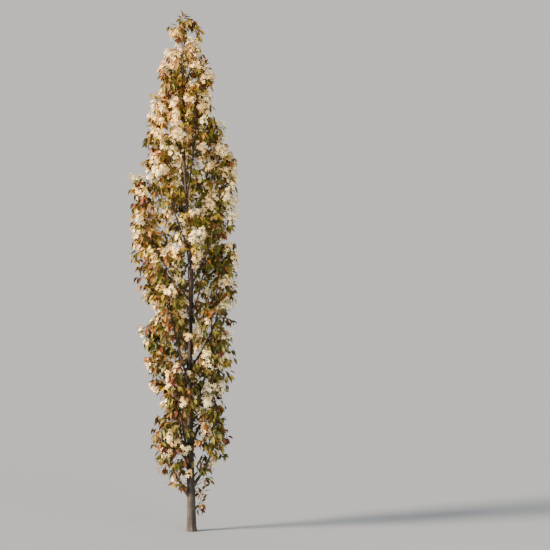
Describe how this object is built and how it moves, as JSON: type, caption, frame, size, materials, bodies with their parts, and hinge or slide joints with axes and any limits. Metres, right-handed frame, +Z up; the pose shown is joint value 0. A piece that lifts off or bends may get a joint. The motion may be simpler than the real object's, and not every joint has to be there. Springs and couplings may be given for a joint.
{
  "type": "columnar serviceberry tree",
  "caption": "Young columnar serviceberry in spring blossom, slim upright boughs on one leader, with bronze leaves and white racemes, cut flat at ground level.",
  "frame": {"origin": "middle of the flat ground cut under the trunk", "axes": "+Z up along the tree, -Y towards the viewer of the picture, +X to the viewer's right"},
  "size_m": [0.7955, 0.7635, 3.5953],
  "materials": {
    "bark": "matt grey-brown bark",
    "foliage": "satin young leaves and creamy blossom"
  },
  "bodies": {
    "root": {"trunk": "bark", "bough_01": "bark", "bough_02": "bark", "bough_03": "bark", "bough_04": "bark", "bough_05": "bark", "bough_06": "bark", "bough_07": "bark", "bough_08": "bark", "bough_09": "bark", "bough_10": "bark", "bough_11": "bark", "bough_12": "bark", "bough_13": "bark", "bough_14": "bark", "bough_15": "bark", "bough_16": "bark", "bough_17": "bark", "bough_18": "bark", "bough_19": "bark", "bough_20": "bark", "bough_21": "bark", "bough_22": "bark", "bough_23": "bark", "bough_24": "bark", "bough_25": "bark", "bough_26": "bark", "foliage_01": "foliage", "foliage_02": "foliage", "foliage_03": "foliage", "foliage_04": "foliage", "foliage_05": "foliage", "foliage_06": "foliage", "foliage_07": "foliage", "foliage_08": "foliage", "foliage_09": "foliage", "foliage_10": "foliage", "foliage_11": "foliage", "foliage_12": "foliage", "foliage_13": "foliage", "foliage_14": "foliage", "foliage_15": "foliage", "foliage_16": "foliage", "foliage_17": "foliage", "foliage_18": "foliage", "foliage_19": "foliage", "foliage_20": "foliage", "foliage_21": "foliage", "foliage_22": "foliage", "foliage_23": "foliage", "foliage_24": "foliage", "foliage_25": "foliage", "foliage_26": "foliage", "foliage_leader": "foliage", "foliage_low_sprig": "foliage"}
  },
  "joints": []
}
